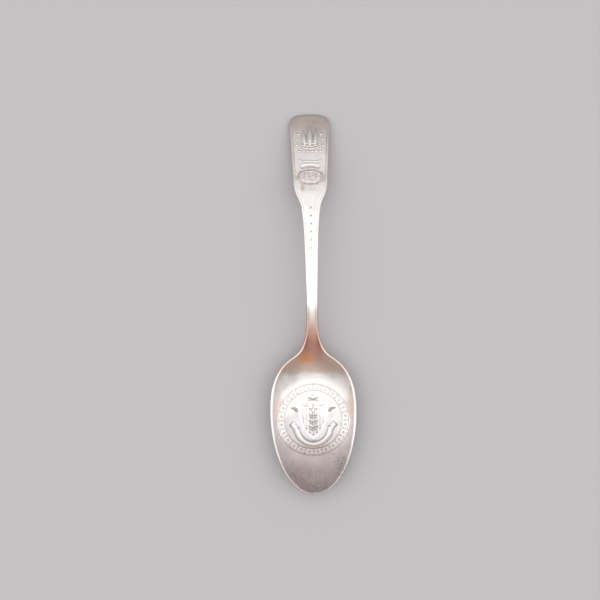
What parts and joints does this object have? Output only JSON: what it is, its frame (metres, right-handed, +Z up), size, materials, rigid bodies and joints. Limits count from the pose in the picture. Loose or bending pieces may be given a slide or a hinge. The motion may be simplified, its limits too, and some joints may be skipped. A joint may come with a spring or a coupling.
{
  "type": "souvenir teaspoon",
  "caption": "Souvenir teaspoon: an oval bowl with a round relief medal, a slim arched stem and a flared, ornamented fiddle end.",
  "frame": {"origin": "on the table, under the middle of the spoon's length", "axes": "+X across the spoon, +Y from the tip of the bowl to the end of the handle, +Z up, out of the bowl's hollow"},
  "size_m": [0.0344, 0.1524, 0.0141],
  "materials": {
    "silver_plate": "gloss",
    "relief_silver": "satin"
  },
  "bodies": {
    "root": {"bowl": "silver_plate", "handle": "silver_plate", "medal_border": "relief_silver", "medal_shield": "relief_silver", "medal_sprig": "relief_silver", "medal_ribbon": "relief_silver", "medal_stroke_right": "relief_silver", "medal_stroke_left": "relief_silver", "medal_crest": "relief_silver", "crest_palmette": "relief_silver", "crest_stud_right_1": "relief_silver", "crest_stud_left_1": "relief_silver", "crest_stud_right_2": "relief_silver", "crest_stud_left_2": "relief_silver", "crest_stud_right_3": "relief_silver", "crest_stud_left_3": "relief_silver", "crest_stud_right_4": "relief_silver", "crest_stud_left_4": "relief_silver", "blank_banner": "relief_silver", "oval_cartouche": "relief_silver", "cartouche_bar": "relief_silver", "stem_lozenge_1": "relief_silver", "stem_lozenge_2": "relief_silver", "stem_lozenge_3": "relief_silver", "stem_lozenge_4": "relief_silver", "stem_lozenge_5": "relief_silver", "stem_lozenge_6": "relief_silver", "stem_lozenge_7": "relief_silver"}
  },
  "joints": []
}
